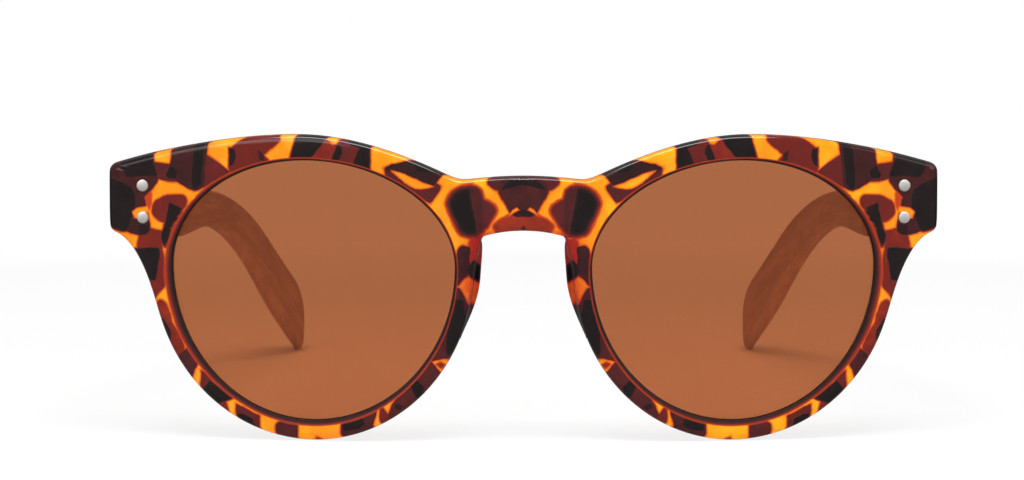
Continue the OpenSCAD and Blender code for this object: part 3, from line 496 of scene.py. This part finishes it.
woodLook = {"pale": rgb(230, 189, 142), "deep": rgb(194, 147, 101), "pore": rgb(131, 90, 57),
            "roughness": (0.36, 0.5), "roughRange": (0.3, 0.7),
            "fibreShare": 0.35, "bump": 0.35, "bumpDeep": 0.00008}
# streaks of the grain, with the scale along, across and through the temple
woodGrain = {
    "broad": {"scale": (0.008, 0.42, 0.3), "detail": 2.0, "twist": 0.3, "range": (0.35, 0.65),
              "colour": "deep", "share": 0.6},
    "bands": {"scale": (0.01, 1.7, 0.9), "detail": 3.0, "twist": 0.0, "range": (0.42, 0.68),
              "colour": "deep", "share": 0.6},
    "fibres": {"scale": (0.05, 9.0, 7.0), "detail": 3.0, "twist": 0.0, "range": (0.4, 0.72),
               "colour": "pore", "share": 0.3},
    "pores": {"scale": (0.22, 4.6, 4.6), "detail": 1.0, "twist": 0.0, "range": (0.64, 0.72),
              "colour": "pore", "share": 0.6},
}


# reads the grain attribute: along, across and through the temple, in mm
def makeWood():
    finish, tree, shader = newFinish("templeWood")
    run = readMark(tree, "grain", "Vector")
    colour = woodLook["pale"]
    streaks = {}
    for name, grain in woodGrain.items():
        place = addNode(tree, "ShaderNodeMapping", {"Vector": run, "Scale": grain["scale"]}).outputs[0]
        streaks[name] = noise(tree, place, 1.0, grain["detail"], Distortion=grain["twist"])[0]
        share = remap(tree, streaks[name], *grain["range"], 0.0, grain["share"])
        colour = mixColour(tree, share, colour, woodLook[grain["colour"]])
    tree.links.new(colour, shader.inputs["Base Color"])
    rough = remap(tree, streaks["fibres"], *woodLook["roughRange"], *woodLook["roughness"])
    tree.links.new(rough, shader.inputs["Roughness"])
    raised = mathNode(tree, "MULTIPLY", streaks["fibres"], woodLook["fibreShare"])
    sunk = remap(tree, streaks["pores"], *woodGrain["pores"]["range"])
    addBump(tree, shader, mathNode(tree, "SUBTRACT", raised, sunk), woodLook["bump"], woodLook["bumpDeep"])
    return finish


metalLooks = {
    "hinge_metal": {"colour": rgb(196, 195, 192), "roughness": 0.26, "spread": 0.16, "fine": 5.0,
                    "along": (1, 1, 0.06)},
    "rivet_metal": {"colour": rgb(242, 236, 231), "roughness": 0.48, "spread": 0.14, "fine": 7.0,
                    "along": (1, 1, 1)},
    "screw_metal": {"colour": rgb(184, 183, 180), "roughness": 0.3, "spread": 0.15, "fine": 9.0,
                    "along": (1, 1, 1)},
    "spring_steel": {"colour": rgb(168, 168, 170), "roughness": 0.24, "spread": 0.12, "fine": 12.0,
                     "along": (1, 1, 1)},
}
metalWear = {"dark": 0.72, "scratch": 0.25, "smear": 0.08, "bump": 0.12, "bumpDeep": 0.00003}


def makeMetal(slot):
    look = metalLooks[slot]
    finish, tree, shader = newFinish(slot)
    marks = useGroup(tree, handling,
                     {"Vector": objectPoint(tree), "Fine": look["fine"], "Along": look["along"]})
    worn = (*(c * metalWear["dark"] for c in look["colour"][:3]), 1.0)
    wear = mathNode(tree, "MULTIPLY", marks["Scratch"], metalWear["scratch"])
    tree.links.new(mixColour(tree, wear, look["colour"], worn), shader.inputs["Base Color"])
    rough = mathNode(tree, "MULTIPLY_ADD", marks["Scratch"], look["spread"], look["roughness"])
    smeared = mathNode(tree, "MULTIPLY_ADD", marks["Smear"], metalWear["smear"], rough)
    tree.links.new(smeared, shader.inputs["Roughness"])
    shader.inputs["Metallic"].default_value = 1.0
    addBump(tree, shader, marks["Scratch"], metalWear["bump"], metalWear["bumpDeep"])
    return finish


shell = makeShell("tortoiseshell", shellLook)
padShell = makeShell("tortoisePad", padLook)
lensTint = makeLensTint()
wood = makeWood()
metals = {slot: makeMetal(slot) for slot in metalLooks}
print("finishes made,", len(blots.nodes), "nodes in the tortoiseshell pattern")

# front: the CAD shape with its surfaces rounded, lengths in mm
frontShape = {"sharp": 62, "levels": 2, "grip": 0.8, "ring": 0.6, "outerRing": 1.3, "lowerRing": 0.45,
              "ringFull": 0.92, "ringReach": 34, "backNormal": 0.3, "step": 5, "padNear": 1.6, "padFar": 4.6}


def clamp(value):
    return min(1, max(0, value))


# the lens's edge as its middle and its reach in every direction, in mm
def lensRim(side):
    edge = [Vector((v.co.x, v.co.z)) / mm for v in frame["nodes"][side + "_lens"].data.vertices]
    centre = (Vector(map(min, zip(*edge))) + Vector(map(max, zip(*edge)))) / 2
    steps = 360 // frontShape["step"]
    rim = {}
    for place in edge:
        out = place - centre
        step = round(math.degrees(math.atan2(out.y, out.x)) / frontShape["step"]) % steps
        rim[step] = max(rim.get(step, 0), out.length)

    def reach(out):
        turn = math.degrees(math.atan2(out.y, out.x)) / frontShape["step"]
        low = math.floor(turn)
        return rim[low % steps] + (turn - low) * (rim[(low + 1) % steps] - rim[low % steps])

    return centre, reach


# painted shade: 1 where the rim meets the lens, 0 on its face. The ring is wider on the outer side and below
def markLensRingShade(obj):
    mark = obj.data.attributes.new("lensRingShade", "FLOAT", "POINT")
    for side, sign in sides.items():
        centre, reach = lensRim(side)
        for v in obj.data.vertices:
            out = Vector((v.co.x, v.co.z)) / mm - centre
            if (v.co.x * sign < 0 or v.normal.y > frontShape["backNormal"]
                    or out.length > frontShape["ringReach"]):
                continue
            outward, down = sign * out.x / out.length, -out.y / out.length
            ring = (frontShape["ring"] + frontShape["outerRing"] * max(0, outward) ** 4
                    + frontShape["lowerRing"] * max(0, down) ** 2)
            past = out.length - (reach(out) - frontShape["grip"])
            mark.data[v.index].value = clamp((ring - past) / (frontShape["ringFull"] * ring))


# 1 where a nose pad lies close behind
def markPadBehind(obj):
    pads = [v.co for side in sides for v in frame["nodes"][side + "_nose_pad"].data.vertices]
    tree = KDTree(len(pads))
    for i, place in enumerate(pads):
        tree.insert(place, i)
    tree.balance()
    near, far = frontShape["padNear"], frontShape["padFar"]
    mark = obj.data.attributes.new("padBehind", "FLOAT", "POINT")
    for v in obj.data.vertices:
        mark.data[v.index].value = clamp((far - tree.find(v.co)[2] / mm) / (far - near))


front = copyNode("front_frame", "frontShell")
roundSurface(front, frontShape)
markLensRingShade(front)
markPadBehind(front)
standFor(front, "front_frame", shell)
print("front:", len(front.data.polygons), "faces")

# the temple's top line: a straight run, the ear bend, then the tail
templeRun = {"from": (-56.52, 47.85), "straight": 74.83, "slope": 7.7, "bend": 82.0, "tailSlope": 33.4}
templeShape = {"sharp": 72, "levels": 2}
# the tail's end in mm: its height, and the length of its rounding in CAD and here
tailShape = {"high": 12.3, "tip": 5.5, "roundTip": 10.0, "least": 0.01}


# a place along, across and through the temple, in mm
def grainPlace(co):
    place = Vector((co.y, co.z)) / mm
    first, last = math.radians(templeRun["slope"]), math.radians(templeRun["tailSlope"])
    turn = Vector(templeRun["from"]) + templeRun["straight"] * Vector((math.cos(first), -math.sin(first)))
    centre = turn - templeRun["bend"] * Vector((math.sin(first), math.cos(first)))
    out = place - centre
    held = min(last, max(first, math.atan2(out.x, out.y)))
    ahead, upward = Vector((math.cos(held), -math.sin(held))), Vector((math.sin(held), math.cos(held)))
    rest = place - (centre + templeRun["bend"] * upward)
    along = templeRun["straight"] + templeRun["bend"] * (held - first)
    return along + rest.dot(ahead), rest.dot(upward), co.x / mm


def markGrain(obj):
    mark = obj.data.attributes.new("grain", "FLOAT_VECTOR", "POINT")
    for v in obj.data.vertices:
        mark.data[v.index].vector = grainPlace(v.co)


# draws the upper edge of the tail's end down on a longer curve
def roundTail(obj):
    slope = math.radians(templeRun["tailSlope"])
    down = Vector((0, -math.sin(slope), -math.cos(slope))) * mm
    places = [grainPlace(v.co) for v in obj.data.vertices]
    end = max(place[0] for place in places)
    for v, (along, up, _) in zip(obj.data.vertices, places):
        left = max(tailShape["least"], end - along)
        if left < tailShape["roundTip"]:
            old = 1 - max(0, 1 - left / tailShape["tip"]) ** 2
            new = 1 - (1 - left / tailShape["roundTip"]) ** 2
            v.co += down * max(0, tailShape["high"] + up) * (1 - math.sqrt(new / old))


recess = {"arm": 1.25, "wide": 0.3, "deep": 0.28}    # cross recess of the box screws, in mm


# sinks a cross into each screw head, on the side that faces the nose
def sinkRecess(obj, node, sign):
    low, high = (Vector(corner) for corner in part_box(node))
    faceX = low.x if sign > 0 else high.x
    headR = (high.z - low.z) / 2
    for y in (low.y + headR, high.y - headR):
        for wide, tall in ((recess["arm"], recess["wide"]), (recess["wide"], recess["arm"])):
            bpy.ops.object.select_all(action="DESELECT")
            bpy.ops.mesh.primitive_cube_add(size=1, location=(faceX, y, low.z + headR),
                                            scale=(2 * recess["deep"] * mm, wide * mm, tall * mm))
            cutter = bpy.context.object
            bpy.ops.object.transform_apply(location=True, rotation=False, scale=True)
            applyModifier(obj, "BOOLEAN", object=cutter, operation="DIFFERENCE", solver="EXACT")
            bpy.data.objects.remove(cutter)


lensShape = {"smooth": 30}
padShape = {"sharp": 48, "levels": 2}
# node, name, slot and how wide the edges are broken, in mm
metalPieces = [
    ("front_hinge", "HingePlate", "hinge_metal", 0.1),
    ("spring_tongue", "HingeTongue", "hinge_metal", 0.1),
    ("spring_housing", "SpringBox", "hinge_metal", 0.12),
    ("spring_stop", "SpringCollar", "screw_metal", 0.08),
    ("front_rivets", "Rivets", "rivet_metal", 0.06),
    ("hinge_screw", "HingeScrew", "screw_metal", 0.06),
    ("housing_screws", "BoxScrews", "screw_metal", 0.03),
]

for side, sign in sides.items():
    lens = copyNode(side + "_lens", side + "LensPane")
    bpy.ops.object.shade_smooth_by_angle(angle=math.radians(lensShape["smooth"]))
    standFor(lens, side + "_lens", lensTint)

    pad = copyNode(side + "_nose_pad", side + "NosePad")
    roundSurface(pad, padShape)
    markPadBehind(pad)
    standFor(pad, side + "_nose_pad", padShell)

    temple = copyNode(side + "_temple", side + "TempleBar")
    roundSurface(temple, templeShape)
    markGrain(temple)
    roundTail(temple)
    standFor(temple, side + "_temple", wood)

    for node, name, slot, width in metalPieces:
        obj = copyNode(side + "_" + node, side + name)
        if node == "housing_screws":
            sinkRecess(obj, side + "_" + node, sign)
        breakEdges(obj, width * mm)
        standFor(obj, side + "_" + node, metals[slot])
    print(side, "side dressed")

# spring: round wire wound on the tongue's rod, in mm
springShape = {"wire": 0.3, "wireSides": 10, "coil": 0.83, "turns": 8, "steps": 24, "length": 6.7,
               "smooth": 50, "x": 68.35, "y": -49.12, "z": 42.25}


def windCoil():
    bpy.ops.object.select_all(action="DESELECT")
    bpy.ops.mesh.primitive_circle_add(vertices=springShape["wireSides"], radius=springShape["wire"] / 2 * mm)
    obj = bpy.context.object
    bpy.ops.object.mode_set(mode="EDIT")
    bpy.ops.transform.translate(value=(springShape["coil"] * mm, 0, 0))
    bpy.ops.object.mode_set(mode="OBJECT")
    applyModifier(obj, "SCREW", axis="Y", screw_offset=springShape["length"] / springShape["turns"] * mm,
                  iterations=springShape["turns"], steps=springShape["steps"],
                  render_steps=springShape["steps"], use_merge_vertices=False)
    bpy.ops.object.mode_set(mode="EDIT")
    bpy.ops.mesh.select_mode(type="EDGE")
    bpy.ops.mesh.select_all(action="DESELECT")
    bpy.ops.mesh.select_non_manifold()
    bpy.ops.mesh.edge_face_add()
    bpy.ops.mesh.select_all(action="SELECT")
    bpy.ops.mesh.normals_make_consistent(inside=False)
    bpy.ops.object.mode_set(mode="OBJECT")
    bpy.ops.object.shade_smooth_by_angle(angle=math.radians(springShape["smooth"]))
    return obj


def placeSpring(coil, side, sign):
    obj = copyPiece(coil, side + "CoilSpring")
    x, z = sign * springShape["x"] * mm, springShape["z"] * mm
    obj.location = (x, springShape["y"] * mm, z)
    bpy.ops.object.transform_apply(location=True, rotation=False, scale=False)
    standFor(obj, side + "_hinge_spring", metals["spring_steel"])
    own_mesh(obj)


coil = windCoil()
for side, sign in sides.items():
    placeSpring(coil, side, sign)
bpy.data.objects.remove(coil)
print("springs wound")

# stage: distances on the floor in m, directions of the sky from -1 to 1
stageLook = {"floor": 24.0, "floorColour": (0.94, 0.94, 0.94, 1.0), "seenGlow": 0.82, "lensGlow": 0.2,
             "farFloor": (0.12, 0.32), "mirrorFloor": (0.1, 0.35), "frontFade": (-0.071, -0.1),
             "sky": 0.36, "dimSide": 0.36, "backdrop": 0.3, "skirting": 0.07,
             "backdropY": (-0.35, 0.25), "backdropZ": (0.85, 0.4), "skirtingZ": (0.12, 0.4)}


# what the camera sees, what a shiny surface shows and what a lens lets through
def rayKinds(tree):
    path = tree.nodes.new("ShaderNodeLightPath").outputs
    return path["Is Camera Ray"], path["Is Glossy Ray"], path["Is Transmission Ray"]


def makeFloor():
    bpy.ops.object.select_all(action="DESELECT")
    bpy.ops.mesh.primitive_plane_add(size=stageLook["floor"])
    floor = bpy.context.object
    floor.name = "studioFloor"
    finish = bpy.data.materials.new("paleFloor")
    finish.use_nodes = True
    tree = finish.node_tree
    tree.nodes.remove(tree.nodes["Principled BSDF"])
    camera, glossy, through = rayKinds(tree)
    place = objectPoint(tree)
    away = addNode(tree, "ShaderNodeVectorMath", {0: place}, operation="LENGTH").outputs["Value"]
    # how much of the floor's white is its own: some near the object, all of it far off and in mirrors
    nearSeen = mathNode(tree, "MULTIPLY", camera, stageLook["seenGlow"])
    nearLens = mathNode(tree, "MULTIPLY", most(tree, glossy, through), stageLook["lensGlow"])
    shown = most(tree, camera, glossy, through)
    far = mathNode(tree, "MULTIPLY", remap(tree, away, *stageLook["farFloor"]), shown)
    mirror = mathNode(tree, "SUBTRACT", glossy, through)    # rays through a lens count as glossy too
    share = most(tree, nearSeen, nearLens, far, mirror)
    dimmed = remap(tree, away, *stageLook["mirrorFloor"],
                   stageLook["backdrop"] - 1, stageLook["skirting"] - 1)
    bright = mathNode(tree, "MULTIPLY_ADD", mirror, dimmed, 1.0)
    matt = addNode(tree, "ShaderNodeBsdfDiffuse", {"Color": stageLook["floorColour"]})
    glow = addNode(tree, "ShaderNodeEmission", {"Color": (1, 1, 1, 1), "Strength": bright})
    lit = addNode(tree, "ShaderNodeMixShader", {0: share, 1: matt.outputs[0], 2: glow.outputs[0]})
    # reflections fade to the dim room on the camera's side
    forward = splitVector(tree, place)["Y"]
    fade = mathNode(tree, "MULTIPLY", remap(tree, forward, *stageLook["frontFade"]), glossy)
    gone = addNode(tree, "ShaderNodeBsdfTransparent")
    whole = addNode(tree, "ShaderNodeMixShader", {0: fade, 1: lit.outputs[0], 2: gone.outputs[0]})
    tree.links.new(whole.outputs[0], tree.nodes["Material Output"].inputs["Surface"])
    floor.data.materials.append(finish)


def makeSky():
    world = bpy.data.worlds.new("studioSky")
    bpy.context.scene.world = world
    world.use_nodes = True
    tree = world.node_tree
    camera, glossy, through = rayKinds(tree)
    way = splitVector(tree, tree.nodes.new("ShaderNodeTexCoord").outputs["Generated"])
    backdrop = mathNode(tree, "MULTIPLY", remap(tree, way["Y"], *stageLook["backdropY"]),
                        remap(tree, way["Z"], *stageLook["backdropZ"]))
    wall = remap(tree, way["Z"], *stageLook["skirtingZ"], stageLook["skirting"], stageLook["backdrop"])
    mirrored = remap(tree, backdrop, 0.0, 1.0, stageLook["dimSide"], wall)
    white = most(tree, mathNode(tree, "MULTIPLY", mirrored, glossy), camera, through)
    # little light comes from behind, where a shiny edge would turn grey
    dimWall = mathNode(tree, "MULTIPLY", wall, stageLook["sky"])
    light = remap(tree, backdrop, 0.0, 1.0, stageLook["sky"], dimWall)
    unseen = mathNode(tree, "SUBTRACT", 1.0, most(tree, camera, glossy, through))
    strength = mathNode(tree, "MAXIMUM", white, mathNode(tree, "MULTIPLY", unseen, light))
    tree.nodes["Background"].inputs["Color"].default_value = (1, 1, 1, 1)
    tree.links.new(strength, tree.nodes["Background"].inputs["Strength"])


lamps = {
    "topLamp": {"at": (0, -0.35, 0.9), "aim": (0, -0.03, 0.02), "size": (0.65, 0.4), "power": 7.8},
    "frontLamp": {"at": (-0.5, -1.0, 0.55), "aim": (0, -0.05, 0.03), "size": (0.6, 0.6), "power": 2.4},
    "sideLamp": {"at": (0.8, -0.5, 0.5), "aim": (0, -0.05, 0.03), "size": (0.6, 0.6), "power": 1.4},
}


def makeLamps():
    for name, lamp in lamps.items():
        bpy.ops.object.light_add(type="AREA", location=lamp["at"])
        obj = bpy.context.object
        obj.name = name
        obj.data.shape = "RECTANGLE"
        obj.data.size, obj.data.size_y = lamp["size"]
        obj.data.energy = lamp["power"]
        aim = Vector(lamp["aim"]) - Vector(lamp["at"])
        obj.rotation_euler = aim.to_track_quat("-Z", "Y").to_euler()


view = {"at": (0.0, -0.7677, 0.1006), "tilt": 5.29, "lens": 139.6, "sensor": 36, "shiftX": -0.0112,
        "near": 0.01, "far": 100}


def makeCamera():
    bpy.ops.object.camera_add(location=view["at"], rotation=(math.radians(90 - view["tilt"]), 0, 0))
    camera = bpy.context.object
    camera.data.lens = view["lens"]
    camera.data.sensor_width = view["sensor"]
    camera.data.shift_x = view["shiftX"]
    camera.data.clip_start = view["near"]
    camera.data.clip_end = view["far"]
    bpy.context.scene.camera = camera


makeFloor()
makeSky()
makeLamps()
makeCamera()
bpy.context.scene.view_settings.view_transform = "Standard"
print("stage set")
